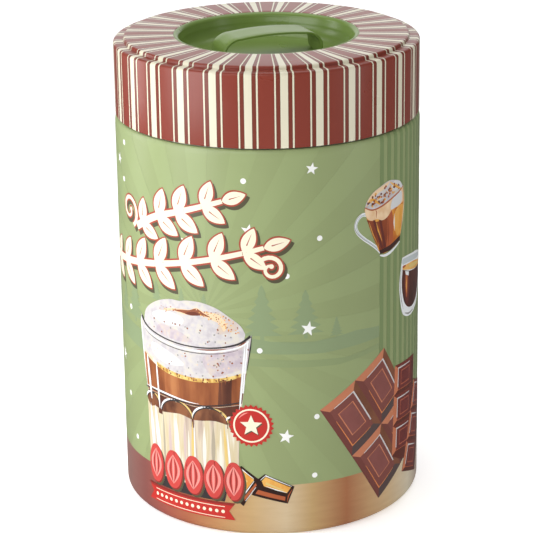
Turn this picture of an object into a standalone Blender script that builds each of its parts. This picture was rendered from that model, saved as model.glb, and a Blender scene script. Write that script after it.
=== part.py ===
"""A round lithographed tin: a rolled steel canister with a necked-in top, and a slip-on lid.

The lid is a drawn ring and skirt. A green pan is clinched under its middle and makes a finger well.
A bent strap handle crosses the pan, about level with the lid's top, and its tabs pass through slots
in the pan's floor and are folded in underneath. Every turned sheet part is a surface with a thickness.
Metres, +Z up. The origin is on the axis, on the table, and -Y is the front.
"""

import math

import bmesh
import bpy

MM = 0.001

# Driving dimensions
BODY_RADIUS = 57.5 * MM
LID_TOP = 180.4 * MM
LID_EDGE_HEIGHT = 151.3 * MM
LID_RADIUS = 57.3 * MM
NECK_RADIUS = 56.1 * MM
NECK_HEIGHT = 175.7 * MM
WELL_RADIUS = 34.5 * MM
WELL_DEPTH = 8.6 * MM
SHEET = 0.4 * MM
GAP = 0.3 * MM
EDGE_CLEARANCE = 0.1 * MM

# Canister
CORNER_RADIUS = 3.7 * MM
SHOULDER_RADIUS = 1.2 * MM
SHOULDER_DROP = 0.5 * MM
RIM_CURL_RADIUS = 0.85 * MM
RIM_CURL_TAIL = 1.2 * MM
FOOT_WIDTH = 1.4 * MM
FOOT_BEND = 0.8 * MM
HEM_HEIGHT = 2.2 * MM
SEAM_WIDTH = 4.5 * MM
SEAM_DEPTH = 0.6 * MM
SEAM_OVERLAP = SHEET / 4
SEAM_LOW = 7.4 * MM
SEAM_TOP_CLEARANCE = 4.0 * MM
SEAM_TURN = math.radians(-135.0)
PANEL_RADIUS = 45.5 * MM
PANEL_RISE = 0.8 * MM

# Lid
RING_RADIUS = 53.4 * MM
RING_EDGE_BEND = 0.9 * MM
LEDGE_DROP = 1.5 * MM
LEDGE_FILLET = 0.4 * MM
SKIRT_BEND = 1.2 * MM
LID_HEM_GAP = 0.12 * MM
LID_HEM_HEIGHT = 2.6 * MM
WELL_RIM_BEND = 1.8 * MM
WELL_RIM_DROP = 0.15 * MM
WELL_FLOOR_BEND = 5.5 * MM
WELL_WALL_DRAFT = 0.7 * MM
PAN_FLANGE = 3.4 * MM
PAN_FLANGE_STEP = 0.6 * MM
SEAL_WIDTH = 1.5 * MM
SEAL_HEIGHT = 2.0 * MM
SEAL_CORNER = 0.3 * MM

# Handle
HANDLE_LENGTH = 39.6 * MM
HANDLE_WIDTH = 13.5 * MM
HANDLE_SHEET = 0.8 * MM
HANDLE_RISE = 0.85 * MM
HANDLE_CROWN = 0.75 * MM
BEND_LENGTH = 7.0 * MM
BEND_HEIGHT = 5.8 * MM
LEG_CORNER = 2.5 * MM
TAB_BEND = 1.2 * MM
TAB_LENGTH = 5.0 * MM
SLOT_CUT_HEIGHT = 2.4 * MM
HANDLE_TURN = math.radians(21.4)
HANDLE_OFFSET = 0.4 * MM

TURN_STEPS = 48
MERGE = 0.00001

# name: (red, green, blue), roughness, metallic
FINISHES = {
    "green_print": ((0.36, 0.43, 0.21), 0.35, 0.0),
    "striped_print": ((0.26, 0.055, 0.035), 0.35, 0.0),
    "green_lacquer": ((0.16, 0.24, 0.065), 0.3, 0.0),
    "tinplate": ((0.62, 0.62, 0.6), 0.35, 1.0),
    "silicone": ((0.78, 0.78, 0.75), 0.6, 0.0),
}


def clear_scene():
    for old in list(bpy.data.objects):
        bpy.data.objects.remove(old, do_unlink=True)


def new_collection(name):
    made = bpy.data.collections.new(name)
    bpy.context.scene.collection.children.link(made)
    return made


def make_material(name):
    colour, roughness, metallic = FINISHES[name]
    material = bpy.data.materials.new(name)
    material.use_nodes = True
    shader = material.node_tree.nodes["Principled BSDF"]
    shader.inputs["Base Color"].default_value = (*colour, 1.0)
    shader.inputs["Roughness"].default_value = roughness
    shader.inputs["Metallic"].default_value = metallic
    material.diffuse_color = (*colour, 1.0)
    return material


def add_object(name, mesh, collection, finish):
    made = bpy.data.objects.new(name, mesh)
    collection.objects.link(made)
    mesh.materials.append(make_material(finish))
    return made


def arc(centre_x, centre_z, radius, start, end, segments):
    """Points of an arc in the XZ plane. Angles are in degrees from +X towards +Z."""
    angles = [math.radians(start + (end - start) * i / segments) for i in range(segments + 1)]
    return [(centre_x + radius * math.cos(a), centre_z + radius * math.sin(a)) for a in angles]


def profile_mesh(name, points, closed=False):
    """A line of edges in the XZ plane through the points, leaving out any that repeat."""
    kept = [points[0]]
    for point in points[1:]:
        if math.dist(point, kept[-1]) > MERGE:
            kept.append(point)
    mesh = bpy.data.meshes.new(name)
    shape = bmesh.new()
    corners = [shape.verts.new((x, 0.0, z)) for x, z in kept]
    for first, second in zip(corners, corners[1:]):
        shape.edges.new((first, second))
    if closed:
        shape.edges.new((corners[-1], corners[0]))
    shape.to_mesh(mesh)
    shape.free()
    return mesh


def add_screw(item):
    turn = item.modifiers.new("Turn", "SCREW")
    turn.axis = "Z"
    turn.angle = math.tau
    turn.steps = TURN_STEPS
    turn.render_steps = TURN_STEPS
    turn.use_merge_vertices = True
    turn.merge_threshold = MERGE
    turn.use_smooth_shade = True


def turned_sheet(name, points, collection, finish):
    """A sheet of even thickness, whose outer face is the points turned about Z."""
    item = add_object(name, profile_mesh(name, points), collection, finish)
    add_screw(item)
    sheet = item.modifiers.new("Sheet", "SOLIDIFY")
    sheet.thickness = SHEET
    sheet.offset = -1.0
    sheet.use_even_offset = True
    return item


def add_boolean(item, other, operation):
    cut = item.modifiers.new(operation.title() + " " + other.name, "BOOLEAN")
    cut.operation = operation
    cut.object = other
    cut.solver = "EXACT"


def make_body_wall(collection, helpers):
    """Rim curl, neck, shoulder, wall, bottom corner, foot ring and the hem behind it."""
    curl_x = NECK_RADIUS - RIM_CURL_RADIUS
    curl_z = NECK_HEIGHT - RIM_CURL_RADIUS
    inner_x = curl_x - RIM_CURL_RADIUS
    shoulder_top = LID_EDGE_HEIGHT - SHOULDER_DROP
    foot_x = BODY_RADIUS - CORNER_RADIUS
    hem_x = foot_x - FOOT_WIDTH
    neck_fillet_x = NECK_RADIUS + (BODY_RADIUS - NECK_RADIUS - SHOULDER_RADIUS)
    points = [(inner_x, curl_z - RIM_CURL_TAIL)]
    points += arc(curl_x, curl_z, RIM_CURL_RADIUS, 180, 0, 5)
    points += [(NECK_RADIUS, shoulder_top)]
    points += arc(neck_fillet_x, shoulder_top - SHOULDER_RADIUS, SHOULDER_RADIUS, 90, 0, 3)
    points += arc(foot_x, CORNER_RADIUS, CORNER_RADIUS, 0, -90, 4)
    points += arc(hem_x, FOOT_BEND, FOOT_BEND, -90, -180, 3)
    points += [(hem_x - FOOT_BEND, HEM_HEIGHT)]
    wall = turned_sheet("body_wall", points, collection, "green_print")
    add_boolean(wall, make_seam_fold(helpers), "UNION")
    return wall


def box_helper(name, size, place, turn, helpers):
    """A box of that size, turned about Z, kept out of the model for a Boolean to use."""
    bpy.ops.mesh.primitive_cube_add(size=1.0)
    box = bpy.context.active_object
    box.name = name
    box.dimensions = size
    box.location = place
    box.rotation_euler.z = turn
    for home in list(box.users_collection):
        home.objects.unlink(box)
    helpers.objects.link(box)
    box.hide_render = True
    box.display_type = "WIRE"
    return box


def make_seam_fold(helpers):
    """The folded lock seam down the inside of the wall, from the corner to the shoulder."""
    high = LID_EDGE_HEIGHT - SEAM_TOP_CLEARANCE
    depth = SEAM_DEPTH + SEAM_OVERLAP
    reach = BODY_RADIUS - SHEET + SEAM_OVERLAP - depth / 2
    middle = (SEAM_LOW + high) / 2
    place = (reach * math.sin(SEAM_TURN), -reach * math.cos(SEAM_TURN), middle)
    size = (SEAM_WIDTH, depth, high - SEAM_LOW)
    return box_helper("seam_fold", size, place, SEAM_TURN, helpers)


def make_bottom_end(collection):
    """A recessed panel, stiffened by one step, whose edge hooks down behind the wall's hem."""
    hem_back = BODY_RADIUS - CORNER_RADIUS - FOOT_WIDTH - FOOT_BEND + SHEET
    hook_x = hem_back + GAP
    under = HEM_HEIGHT + GAP + EDGE_CLEARANCE
    step_x = PANEL_RADIUS + PANEL_RISE
    points = [(hook_x, SHEET + GAP)]
    points += arc(hook_x - FOOT_BEND / 2, under - FOOT_BEND / 2, FOOT_BEND / 2, 0, 90, 3)
    points += [(step_x, under), (PANEL_RADIUS, under + PANEL_RISE), (0.0, under + PANEL_RISE)]
    return turned_sheet("bottom_end", points, collection, "tinplate")


def make_lid_shell(collection):
    """Flat ring, rounded step down to a ledge, skirt, and a hem folded up inside the skirt."""
    top = LID_TOP
    edge = RING_RADIUS - RING_EDGE_BEND
    ledge = top - LEDGE_DROP
    skirt_x = LID_RADIUS - SKIRT_BEND
    fillet_x = RING_RADIUS + LEDGE_FILLET
    turn = (SHEET * 2 + LID_HEM_GAP) / 2
    points = [(WELL_RADIUS + GAP + EDGE_CLEARANCE, top)]
    points += arc(edge, top - RING_EDGE_BEND, RING_EDGE_BEND, 90, 0, 3)
    points += arc(fillet_x, ledge + LEDGE_FILLET, LEDGE_FILLET, 180, 270, 2)
    points += arc(skirt_x, ledge - SKIRT_BEND, SKIRT_BEND, 90, 0, 3)
    points += arc(LID_RADIUS - turn, LID_EDGE_HEIGHT + turn, turn, 0, -180, 4)
    points += [(LID_RADIUS - 2 * turn, LID_EDGE_HEIGHT + turn + LID_HEM_HEIGHT)]
    return turned_sheet("lid_shell", points, collection, "striped_print")


def make_lid_well(collection, helpers):
    """The green pan: floor, deep corner, steep wall, rounded rim, and a flange under the ring."""
    floor = LID_TOP - WELL_DEPTH
    rim_z = LID_TOP - WELL_RIM_DROP
    wall_top_x = WELL_RADIUS - WELL_RIM_BEND
    wall_x = wall_top_x - WELL_WALL_DRAFT
    flange_z = LID_TOP - SHEET - GAP
    points = [(0.0, floor)]
    points += arc(wall_x - WELL_FLOOR_BEND, floor + WELL_FLOOR_BEND, WELL_FLOOR_BEND, -90, 0, 5)
    points += arc(WELL_RADIUS, rim_z - WELL_RIM_BEND, WELL_RIM_BEND, 180, 90, 4)
    points += [(WELL_RADIUS + PAN_FLANGE_STEP, flange_z), (WELL_RADIUS + PAN_FLANGE, flange_z)]
    pan = turned_sheet("lid_well", points, collection, "green_lacquer")
    for cutter in make_slot_cutters(helpers):
        add_boolean(pan, cutter, "DIFFERENCE")
    return pan


def make_seal_ring(collection):
    """A soft ring in the corner under the ledge, above the rim of the neck."""
    top = LID_TOP - LEDGE_DROP - SHEET - GAP
    low = top - SEAL_HEIGHT
    outer = LID_RADIUS - SHEET - SKIRT_BEND / 2
    inner = outer - SEAL_WIDTH
    c = SEAL_CORNER
    points = [(inner + c, top), (outer - c, top), (outer, top - c), (outer, low + c)]
    points += [(outer - c, low), (inner + c, low), (inner, low + c), (inner, top - c)]
    mesh = profile_mesh("lid_seal_ring", points, closed=True)
    ring = add_object("lid_seal_ring", mesh, collection, "silicone")
    add_screw(ring)
    return ring


def make_slot_cutters(helpers):
    """One box for each slot in the pan's floor, a clearance larger than the tab all round."""
    floor = LID_TOP - WELL_DEPTH
    reach = (HANDLE_LENGTH - HANDLE_SHEET) / 2
    size = (HANDLE_SHEET + 2 * GAP, tab_width() + 2 * GAP, SLOT_CUT_HEIGHT)
    cutters = []
    for side, way in (("left", -1.0), ("right", 1.0)):
        x = HANDLE_OFFSET + way * reach * math.cos(HANDLE_TURN)
        place = (x, way * reach * math.sin(HANDLE_TURN), floor)
        cutters.append(box_helper("slot_" + side, size, place, HANDLE_TURN, helpers))
    return cutters


def tab_width():
    return HANDLE_WIDTH - 2 * LEG_CORNER


def handle_half_path():
    """(reach, height, width) along the strap's outer face, from mid-span to the end of one tab."""
    top = LID_TOP + HANDLE_RISE
    half = HANDLE_LENGTH / 2
    span = half - BEND_LENGTH
    floor = LID_TOP - WELL_DEPTH
    low = floor - SHEET - GAP - HANDLE_SHEET
    path = [(span * t, top - HANDLE_CROWN * t * t, HANDLE_WIDTH) for t in (0.0, 0.33, 0.66)]
    for x, z in arc(0.0, 0.0, 1.0, 90, 0, 6):
        bend_z = top - HANDLE_CROWN - BEND_HEIGHT * (1.0 - z)
        path.append((span + BEND_LENGTH * x, bend_z, HANDLE_WIDTH))
    for inset, rise in arc(0.0, 0.0, LEG_CORNER, 180, 270, 4):
        width = tab_width() - 2 * inset
        path.append((half, floor + GAP + LEG_CORNER + rise, width))
    for x, z in arc(half - TAB_BEND, low + TAB_BEND, TAB_BEND, 0, -90, 3):
        path.append((x, z, tab_width()))
    path.append((half - TAB_BEND - TAB_LENGTH, low, tab_width()))
    return path


def make_handle_strap(collection):
    """A half strip, given its thickness and mirrored, and turned to its angle on the lid."""
    mesh = bpy.data.meshes.new("handle_strap")
    shape = bmesh.new()
    rows = []
    for x, z, width in handle_half_path():
        rows.append([shape.verts.new((x, side * width / 2, z)) for side in (-1.0, 1.0)])
    for (near, far), (next_near, next_far) in zip(rows, rows[1:]):
        shape.faces.new((near, next_near, next_far, far))
    shape.to_mesh(mesh)
    shape.free()
    strap = add_object("handle_strap", mesh, collection, "green_lacquer")
    mirror = strap.modifiers.new("Other half", "MIRROR")
    mirror.merge_threshold = MERGE
    sheet = strap.modifiers.new("Sheet", "SOLIDIFY")
    sheet.thickness = HANDLE_SHEET
    sheet.offset = -1.0
    sheet.use_even_offset = True
    strap.location.x = HANDLE_OFFSET
    strap.rotation_euler.z = HANDLE_TURN
    return strap


def group_under(name, items, collection):
    """Parents the pieces of one rigid body to an empty on the axis the lid slides along."""
    empty = bpy.data.objects.new(name, None)
    empty.empty_display_size = 0.02
    collection.objects.link(empty)
    for item in items:
        item.parent = empty


def main():
    clear_scene()
    tin = new_collection("lithographed_tin")
    helpers = new_collection("helpers")
    helpers.hide_render = True
    canister = [make_body_wall(tin, helpers), make_bottom_end(tin)]
    lid = [make_lid_shell(tin), make_lid_well(tin, helpers), make_seal_ring(tin)]
    lid.append(make_handle_strap(tin))
    group_under("canister", canister, tin)
    group_under("lid", lid, tin)


main()
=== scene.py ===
"""The looks of a round lithographed tin: turned sheet-metal pieces and the ink films of its artwork.

The wall's artwork is drawn in sheet millimetres: s runs to the right round the wall from the middle of
the front, z runs up from the table. Each patch of ink becomes a thin closed film on the wall.
"""

import functools
import math
import random

import bmesh
import bpy
from mathutils import Euler, Matrix, Vector


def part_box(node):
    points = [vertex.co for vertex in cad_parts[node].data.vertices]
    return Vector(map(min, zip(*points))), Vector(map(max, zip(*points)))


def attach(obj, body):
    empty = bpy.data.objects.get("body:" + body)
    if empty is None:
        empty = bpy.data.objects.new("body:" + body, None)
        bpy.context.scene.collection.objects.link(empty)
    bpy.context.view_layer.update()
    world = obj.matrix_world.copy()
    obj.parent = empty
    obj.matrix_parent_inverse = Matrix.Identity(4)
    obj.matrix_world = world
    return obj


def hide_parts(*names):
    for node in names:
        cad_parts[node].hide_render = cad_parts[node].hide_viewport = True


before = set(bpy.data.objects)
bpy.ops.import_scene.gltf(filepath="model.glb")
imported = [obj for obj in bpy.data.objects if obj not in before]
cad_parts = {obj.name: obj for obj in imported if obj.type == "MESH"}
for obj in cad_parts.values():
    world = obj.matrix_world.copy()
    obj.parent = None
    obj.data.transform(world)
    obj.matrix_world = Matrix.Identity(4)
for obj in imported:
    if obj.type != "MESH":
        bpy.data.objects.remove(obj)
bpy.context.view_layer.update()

MM = 0.001

# Sizes from the frame, in millimetres
WALL_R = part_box("body_wall")[1].x / MM
NECK_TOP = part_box("body_wall")[1].z / MM
LID_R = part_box("lid_shell")[1].x / MM
LID_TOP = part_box("lid_shell")[1].z / MM
LID_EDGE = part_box("lid_shell")[0].z / MM
STRAP_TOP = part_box("handle_strap")[1].z / MM
STRAP_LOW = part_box("handle_strap")[0].z / MM
SEAL_LOW, SEAL_HIGH = (corner.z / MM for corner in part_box("lid_seal_ring"))
SEAL_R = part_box("lid_seal_ring")[1].x / MM
PANEL_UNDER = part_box("bottom_end")[1].z / MM

# Sheet-metal shapes, in millimetres
SHEET = 0.4
NECK_R = 56.1
SHOULDER = 1.2
SHOULDER_HIGH = 2.8
SHOULDER_TOP = LID_EDGE - 0.5
CORNER = 3.7
CURL = 0.85
CURL_TAIL = 1.2
FOOT_WIDTH = 1.4
HEM_BEND = 0.8
HEM_TOP = 2.2
SEAM_DEGREES = -135
SEAM_LOW = 7.4
SEAM_HIGH = LID_EDGE - 4
SEAM_FOLD_WIDTH = 4.5
SEAM_FOLD_DEPTH = 0.6
SEAM_GROOVE = 0.22
SEAM_HALF = 0.5
SEAM_COLUMNS = (0.12, 0.25, 0.38, SEAM_HALF, 0.62)
PANEL_STEP = 0.8
RING_R = 53.4
RING_BEND = 0.9
LEDGE_DROP = 1.5
LEDGE_FILLET = 0.4
SKIRT_BEND = 1.2
LID_HEM_TURN = 0.46
LID_HEM_HEIGHT = 2.6
WELL_R = 34.5
WELL_FLOOR = LID_TOP - 8.6
WELL_RIM = 1.8
WELL_RIM_DROP = 0.05
WELL_BEND = 5.5
WELL_DRAFT = 0.7
PAN_FLANGE = 3.4
STRAP_LENGTH = 39.6
STRAP_WIDTH = 13.5
STRAP_SHEET = 0.8
STRAP_CROWN = 0.75
STRAP_BEND_LENGTH = 7
STRAP_BEND_HEIGHT = 5.8
STRAP_CORNER = 2.5
TAB_BEND = 1.2
TAB_LENGTH = 5
STRAP_TURN = math.radians(21.4)
STRAP_OFFSET = 0.4

# Artwork layout. A degree round the wall is a sheet millimetre, to within half a percent.
STEP_DEGREES = 1.5
LID_STRIPES = 28
STRIPE_CENTRE = 6
BAND_TOP = 21.1
MAIN_PANEL = (-97.5, 45)
INK_TOP = SHOULDER_TOP - SHOULDER_HIGH * (1 - math.sin(math.radians(67.5)))
FILM = 0.03
FILM_STEP = 0.003
FILM_ROOT = 0.02
DARK_LINE = 0.13

# Limits of the modelling
LEAST_STEP = 1e-4
ON_AXIS = 1e-6
SHARP = math.radians(50)
SHARPEST_MITRE = 0.6
SHOULDER_PARTS = 8
HEM_PARTS = 6


# ---------------------------------------------------------------- colours and materials

WHITE = (1, 1, 1, 1)
SAGE_TINTS = [(0.3, (147, 160, 110)), (0.5, (149, 162, 112)), (0.7, (151, 164, 114))]
INK_ROUGHNESS = 0.36

# Flat printing inks, in screen colours
FLAT_INKS = {"ray_tint": (153, 167, 116), "woods_far": (141, 158, 117), "woods_near": (144, 159, 112),
    "star_white": (250, 250, 247), "pinstripe": (126, 145, 95), "cream": (246, 238, 212),
    "outline_red": (176, 74, 56), "drop_shadow": (88, 84, 62), "seal_red": (198, 44, 36),
    "pink": (240, 150, 142), "deep_red": (150, 44, 38), "pod_red": (208, 70, 64),
    "foam_light": (216, 217, 218), "facet_light": (236, 231, 218), "facet_pink": (206, 184, 180),
    "facet_grey": (176, 164, 144), "peach": (240, 208, 170), "cocoa": (150, 84, 54),
    "cocoa_dark": (112, 52, 34), "light": (239, 241, 242), "line": (60, 54, 54), "grey": (156, 154, 152),
    "gold": (228, 196, 118), "rust": (182, 92, 50), "deep": (108, 48, 38), "glass_blue": (196, 204, 206),
    "coffee_black": (72, 42, 38), "crust": (54, 30, 25), "choc_shine": (212, 208, 208),
    "near_face": (134, 74, 66), "near_top": (204, 126, 90), "near_left": (124, 66, 58),
    "near_low": (92, 74, 72), "near_edge": (230, 138, 74), "near_frame": (206, 126, 90),
    "far_face": (120, 50, 44), "far_top": (124, 50, 36), "far_left": (206, 120, 82),
    "far_right": (104, 44, 36), "far_low": (104, 46, 34), "far_edge": (204, 104, 58),
    "far_frame": (186, 96, 68),}

# Painted passages: noise features a metre, their stretch along z, and stops of noise level and screen colour
PAINTED_INKS = {
    "foam": (420, 1, (0.36, (196, 190, 194)), (0.5, (208, 203, 204)), (0.64, (216, 210, 200))),
    "foam_shade": (420, 1, (0.36, (190, 176, 186)), (0.5, (202, 190, 195)), (0.64, (212, 198, 188))),
    "foam_warm": (420, 1, (0.36, (214, 194, 172)), (0.5, (204, 190, 188)), (0.64, (218, 202, 178))),
    "milk": (220, 0.1, (0.38, (200, 184, 168)), (0.5, (222, 212, 192)), (0.6, (216, 202, 164)),
             (0.68, (232, 226, 214))),
    "facet": (260, 0.08, (0.36, (186, 164, 150)), (0.46, (218, 204, 180)), (0.56, (212, 196, 156)),
              (0.66, (232, 226, 212))),
    "coffee": (210, 0.25, (0.32, (122, 62, 32)), (0.5, (148, 82, 42)), (0.68, (168, 100, 54))),
    "coffee_light": (240, 0.2, (0.35, (160, 90, 48)), (0.65, (188, 122, 72))),
    "coffee_dark": (210, 0.25, (0.35, (84, 44, 32)), (0.65, (110, 62, 42))),
    "coffee_fade": (240, 0.4, (0.35, (96, 54, 36)), (0.6, (146, 92, 58))),
    "crema": (420, 1, (0.36, (180, 122, 56)), (0.5, (224, 186, 96)), (0.64, (240, 214, 140))),
    "amber": (260, 0.4, (0.34, (188, 96, 26)), (0.5, (220, 138, 38)), (0.66, (240, 172, 66))),
    "honey": (300, 0.4, (0.34, (226, 156, 58)), (0.66, (244, 190, 100))),
    "brown": (300, 0.3, (0.34, (122, 50, 26)), (0.66, (160, 76, 36))),
    "tan": (300, 1, (0.34, (230, 188, 142)), (0.66, (244, 214, 176))),
    "espresso": (260, 0.4, (0.34, (74, 34, 28)), (0.66, (98, 46, 34))),
    "near_face_deep": (160, 1, (0.35, (138, 78, 72)), (0.65, (146, 84, 78))),
    "near_right": (160, 1, (0.35, (122, 72, 48)), (0.65, (138, 84, 58))),
    "far_face_deep": (160, 1, (0.35, (116, 46, 42)), (0.65, (130, 56, 50))),
}

# The gold band's tones, by degrees from the middle of the front
GOLD_TONES = [
    (-97.5, (188, 166, 154)), (-80, (150, 112, 104)), (-58, (138, 82, 76)), (-46, (160, 84, 72)),
    (-34, (176, 104, 72)), (-22, (192, 140, 92)), (-8, (203, 170, 120)), (5, (216, 194, 158)),
    (15, (200, 166, 114)), (29, (176, 114, 74)), (39, (200, 158, 112)), (50, (214, 184, 140)),
    (66, (226, 214, 188)), (82.5, (188, 166, 154)),
]


def srgb(red, green, blue):
    """A linear colour from screen values of 0 to 255."""
    levels = []
    for value in (red, green, blue):
        share = value / 255
        levels.append(share / 12.92 if share <= 0.04045 else ((share + 0.055) / 1.055) ** 2.4)
    return (*levels, 1)


def add_node(tree, kind, values=None, links=None):
    """A shader node with constant inputs and with links from other sockets, both keyed by input."""
    made = tree.nodes.new("ShaderNode" + kind)
    for key, value in (values or {}).items():
        made.inputs[key].default_value = value
    for key, socket in (links or {}).items():
        tree.links.new(socket, made.inputs[key])
    return made


class Coat:
    """A material, and the noises in object space that drive its shader."""

    def __init__(self, name, colour, roughness, metallic=0):
        self.material = bpy.data.materials.new(name)
        self.material.use_nodes = True
        self.material.diffuse_color = srgb(*colour)
        self.tree = self.material.node_tree
        self.shader = self.tree.nodes["Principled BSDF"]
        self.shader.inputs["Base Color"].default_value = srgb(*colour)
        self.shader.inputs["Roughness"].default_value = roughness
        self.shader.inputs["Metallic"].default_value = metallic
        self.place = self.node("TexCoord").outputs["Object"]

    def node(self, kind, values=None, links=None):
        return add_node(self.tree, kind, values, links)

    def drive(self, name, socket):
        self.tree.links.new(socket, self.shader.inputs[name])

    def noise(self, scale, detail=3, stretch=(1, 1, 1)):
        """The factor socket of a noise of that many features a metre."""
        mapping = self.node("Mapping", {"Scale": stretch}, {"Vector": self.place})
        texture = self.node("TexNoise", {"Scale": scale, "Detail": detail},
            {"Vector": mapping.outputs["Vector"]})
        return texture.outputs["Fac"]

    def ramp(self, factor, stops):
        """The colour socket of a ramp through (position, screen colour) stops."""
        made = self.node("ValToRGB", links={"Fac": factor})
        while len(made.color_ramp.elements) < len(stops):
            made.color_ramp.elements.new(0.5)
        for element, (position, colour) in zip(made.color_ramp.elements, stops):
            element.position = position
            element.color = srgb(*colour)
        return made.outputs["Color"]

    def colour(self, factor, *stops):
        self.drive("Base Color", self.ramp(factor, stops))

    def roughen(self, scale, low, high):
        """A noise moves the roughness between low and high."""
        ends = {"From Min": 0.3, "From Max": 0.7, "To Min": low, "To Max": high}
        self.drive("Roughness", self.node("MapRange", ends, {"Value": self.noise(scale)}).outputs["Result"])

    def bump(self, factor, strength, distance):
        made = self.node("Bump", {"Strength": strength, "Distance": distance * MM}, {"Height": factor})
        self.drive("Normal", made.outputs["Normal"])

    def varnish(self, roughness):
        """The satin skin of stoved varnish: slow changes of gloss and a very fine orange peel."""
        self.roughen(60, roughness - 0.03, roughness + 0.03)
        self.bump(self.noise(1400, 1), 0.35, 0.004)
        return self.material


def ink(name, colour, roughness=INK_ROUGHNESS):
    """One flat printing ink under the varnish."""
    return Coat("ink_" + name, colour, roughness).varnish(roughness)


def painted_ink(name, stops, scale, stretch, roughness=INK_ROUGHNESS, detail=4):
    """A painted passage: the ink runs through several screen colours by a noise."""
    coat = Coat("ink_" + name, stops[0][1], roughness)
    coat.colour(coat.noise(scale, detail, (1, 1, stretch)), *stops)
    return coat.varnish(roughness)


@functools.cache
def printing_ink(name):
    """The ink of that name in the tables, made once."""
    if name in FLAT_INKS:
        return ink(name, FLAT_INKS[name])
    scale, stretch, *stops = PAINTED_INKS[name]
    return painted_ink(name, stops, scale, stretch)


def turn_factor(coat):
    """A socket that runs 0 to 1 twice with the turn about Z, from the main panel's left edge."""

    def maths(operation, values, *sockets):
        made = coat.node("Math", values, dict(enumerate(sockets)))
        made.operation = operation
        return made.outputs[0]

    split = coat.node("SeparateXYZ", links={0: coat.place})
    flipped = maths("MULTIPLY", {1: -1}, split.outputs["Y"])
    angle = maths("ARCTAN2", {}, split.outputs["X"], flipped)
    half_turns = maths("MULTIPLY_ADD", {1: 1 / math.pi, 2: 1 - MAIN_PANEL[0] / 180}, angle)
    return maths("FRACT", {}, half_turns)


def gold_band_material():
    """A metallic-looking gold printed in bands of copper and straw colour round the foot."""
    coat = Coat("print_gold_band", (200, 160, 110), 0.34)
    bands = coat.ramp(turn_factor(coat), [((at - MAIN_PANEL[0]) / 180, tone) for at, tone in GOLD_TONES])
    streaks = coat.ramp(coat.noise(90, 4, (1, 1, 6)), [(0.3, (247, 244, 242)), (0.7, (255, 255, 255))])
    grain = coat.node("Mix")
    grain.data_type = "RGBA"
    grain.blend_type = "MULTIPLY"
    grain.inputs["Factor"].default_value = 1
    coat.tree.links.new(bands, grain.inputs["A"])
    coat.tree.links.new(streaks, grain.inputs["B"])
    coat.drive("Base Color", grain.outputs["Result"])
    return coat.varnish(0.34)


def tinplate_material(name, brushed):
    """Bright tinplate with rolling streaks and a few dull patches."""
    coat = Coat(name, (206, 207, 203), 0.28, 1)
    streaks = coat.noise(70, 5, brushed)
    coat.colour(streaks, (0.3, (186, 187, 184)), (0.7, (222, 222, 217)))
    coat.roughen(35, 0.22, 0.4)
    coat.bump(streaks, 0.25, 0.02)
    return coat.material


def inside_lacquer_material():
    """Tinplate under the clear food lacquer that makes the inside look pale gold."""
    coat = Coat("inside_lacquer", (205, 186, 138), 0.3, 1)
    coat.colour(coat.noise(40, 4, (1, 1, 5)), (0.3, (196, 176, 126)), (0.7, (216, 198, 152)))
    coat.roughen(50, 0.26, 0.36)
    return coat.material


def green_lacquer_material():
    """Plain green stoved lacquer on the pan and the strap."""
    coat = Coat("green_lacquer_coat", (115, 140, 66), 0.3)
    coat.colour(coat.noise(45), (0.3, (111, 136, 62)), (0.7, (119, 144, 70)))
    return coat.varnish(0.3)


def silicone_material():
    coat = Coat("seal_silicone", (214, 214, 206), 0.55)
    coat.colour(coat.noise(180), (0.3, (204, 204, 195)), (0.7, (222, 222, 214)))
    coat.roughen(500, 0.5, 0.65)
    coat.shader.inputs["Subsurface Weight"].default_value = 0.15
    coat.shader.inputs["Subsurface Scale"].default_value = 0.001
    return coat.material


# ---------------------------------------------------------------- turned pieces

def arc(centre_r, centre_z, radius, start, end, steps):
    """Points of an arc in the profile plane, with angles in degrees from outward towards up."""
    angles = [math.radians(start + (end - start) * i / steps) for i in range(steps + 1)]
    return [(centre_r + radius * math.cos(a), centre_z + radius * math.sin(a)) for a in angles]


def polar(reach, turn, z):
    """A place in metres, from millimetres and a turn in radians from the front."""
    return (reach * math.sin(turn) * MM, -reach * math.cos(turn) * MM, z * MM)


def sheet_loop(points):
    """The outline of a sheet whose outer face is the points: they come first, then its back face."""
    kept = [points[0]]
    for point in points[1:]:
        if math.dist(point, kept[-1]) > LEAST_STEP:
            kept.append(point)
    back = []
    for i, (r, z) in enumerate(kept):
        before = kept[max(i - 1, 0)]
        after = kept[min(i + 1, len(kept) - 1)]
        along = Vector((after[0] - before[0], after[1] - before[1])).normalized()
        reach = SHEET
        if 0 < i < len(kept) - 1:
            first = Vector((r - before[0], z - before[1])).normalized()
            reach = SHEET / max(first.dot(along), SHARPEST_MITRE)
        back.append((r + along.y * reach if r > ON_AXIS else 0, z - along.x * reach))
    return kept + back[::-1]


def add_piece(name, mesh, shades=()):
    for shade in shades:
        mesh.materials.append(shade)
    piece = bpy.data.objects.new(name, mesh)
    bpy.context.scene.collection.objects.link(piece)
    return piece


def piece_of(name, shape, shades=()):
    """A piece made from a bmesh, which is then freed."""
    mesh = bpy.data.meshes.new(name)
    shape.to_mesh(mesh)
    shape.free()
    return add_piece(name, mesh, shades)


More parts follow.
